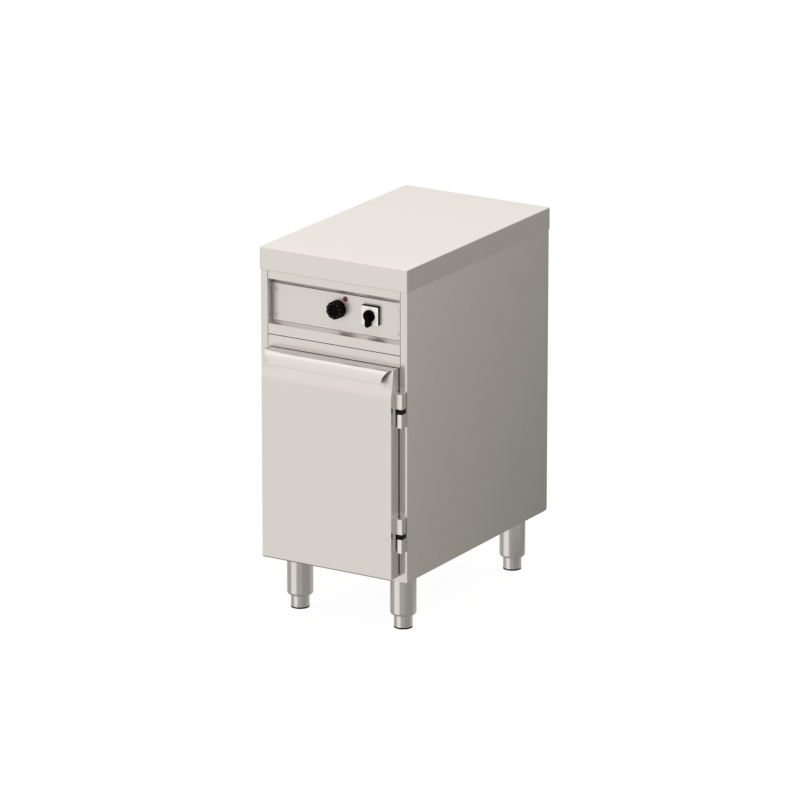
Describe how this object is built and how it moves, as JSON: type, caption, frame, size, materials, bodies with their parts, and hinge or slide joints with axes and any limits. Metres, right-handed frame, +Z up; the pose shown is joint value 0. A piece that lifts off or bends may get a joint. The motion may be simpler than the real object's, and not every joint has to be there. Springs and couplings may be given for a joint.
{
  "type": "plate warmer cabinet",
  "caption": "Free-standing insulated steel plate warmer with a worktop, a recessed control panel, a side-hung door with a rolled pull lip, and adjustable legs.",
  "frame": {"origin": "on the floor under the four feet, at the centre of the overall footprint from the pull lip to the back edge of the worktop", "axes": "+X to the right of someone facing the door, +Y towards the back, +Z up"},
  "size_m": [0.4, 0.692, 0.89],
  "materials": {
    "steel_outer": "satin brushed stainless sheet",
    "steel_inner": "bright stainless sheet",
    "steel_frame": "plain stainless sheet",
    "steel_legs": "satin tube",
    "steel_feet": "turned steel",
    "hinge_steel": "satin cast and machined",
    "fastener_steel": "plated steel",
    "shelf_wire": "bright plated wire",
    "element_sheath": "heat-darkened sheath",
    "knob_black": "fine moulded texture",
    "switch_black": "fine moulded texture",
    "switch_legend": "satin legend plate",
    "lamp_red": "clear red lens",
    "lamp_body": "moulded",
    "ring_black": "moulded bearing ring",
    "gasket_rubber": "soft seal",
    "pad_rubber": "moulded",
    "mineral_wool": "fibre slab",
    "thermostat_case": "moulded case",
    "sensor_copper": "drawn tube",
    "terminal_plastic": "moulded",
    "gland_plastic": "moulded"
  },
  "bodies": {
    "cabinet": {"back_panel": "steel_outer", "bottom_tray": "steel_frame", "bulb_clip": "steel_inner", "cable_gland": "gland_plastic", "compartment_floor": "steel_frame", "control_plate": "steel_outer", "control_plate_screws": "fastener_steel", "element_supports": "steel_frame", "fascia_frame": "steel_outer", "fascia_strip": "steel_outer", "frame_top_rail": "steel_outer", "heater_cover": "steel_inner", "heating_element": "element_sheath", "hinge_brackets": "hinge_steel", "hinge_pins": "hinge_steel", "hinge_screws": "fastener_steel", "insulation_decks": "mineral_wool", "insulation_walls": "mineral_wool", "leg_back_left": "steel_legs", "leg_back_right": "steel_legs", "leg_bolts": "fastener_steel", "leg_front_left": "steel_legs", "leg_front_right": "steel_legs", "liner_back": "steel_inner", "liner_ceiling": "steel_inner", "liner_floor": "steel_inner", "liner_left": "steel_inner", "liner_right": "steel_inner", "pilot_lamp_body": "lamp_body", "pilot_lamp_lens": "lamp_red", "shelf_lower": "shelf_wire", "shelf_racks": "steel_inner", "shelf_upper": "shelf_wire", "side_panel_left": "steel_outer", "side_panel_right": "steel_outer", "switch_block": "thermostat_case", "switch_frame": "switch_black", "switch_plate": "switch_legend", "terminal_block": "terminal_plastic", "thermostat_body": "thermostat_case", "thermostat_sensor": "sensor_copper", "worktop": "steel_outer", "worktop_stiffeners": "steel_frame"},
    "door": {"door_front_skin": "steel_outer", "door_top_cap": "steel_outer", "door_inner_pan": "steel_inner", "door_insulation": "mineral_wool", "door_gasket": "gasket_rubber", "hinge_leaves": "hinge_steel", "hinge_rings": "ring_black"},
    "knob": {"thermostat_knob": "knob_black"},
    "switch": {"switch_handle": "switch_black"},
    "foot_front_left": {"foot_front_left": "steel_feet", "foot_pad_front_left": "pad_rubber"},
    "foot_front_right": {"foot_front_right": "steel_feet", "foot_pad_front_right": "pad_rubber"},
    "foot_back_left": {"foot_back_left": "steel_feet", "foot_pad_back_left": "pad_rubber"},
    "foot_back_right": {"foot_back_right": "steel_feet", "foot_pad_back_right": "pad_rubber"}
  },
  "joints": [
    {"name": "door_swing", "type": "hinge", "parent": "cabinet", "child": "door", "pos_m": [0.19075, -0.3145, 0.40245], "axis": [0, 0, 1], "range_deg": [0, 180]},
    {"name": "knob_turn", "type": "hinge", "parent": "cabinet", "child": "knob", "pos_m": [0.002, -0.285, 0.765], "axis": [0, 1, 0], "range_deg": [0, 270]},
    {"name": "switch_turn", "type": "hinge", "parent": "cabinet", "child": "switch", "pos_m": [0.0923, -0.2938, 0.7636], "axis": [0, 1, 0], "range_deg": [0, 90]},
    {"name": "foot_front_left_screw", "type": "slide", "parent": "cabinet", "child": "foot_front_left", "axis": [0, 0, -1], "range_m": [-0.02, 0.025]},
    {"name": "foot_front_right_screw", "type": "slide", "parent": "cabinet", "child": "foot_front_right", "axis": [0, 0, -1], "range_m": [-0.02, 0.025]},
    {"name": "foot_back_left_screw", "type": "slide", "parent": "cabinet", "child": "foot_back_left", "axis": [0, 0, -1], "range_m": [-0.02, 0.025]},
    {"name": "foot_back_right_screw", "type": "slide", "parent": "cabinet", "child": "foot_back_right", "axis": [0, 0, -1], "range_m": [-0.02, 0.025]}
  ]
}
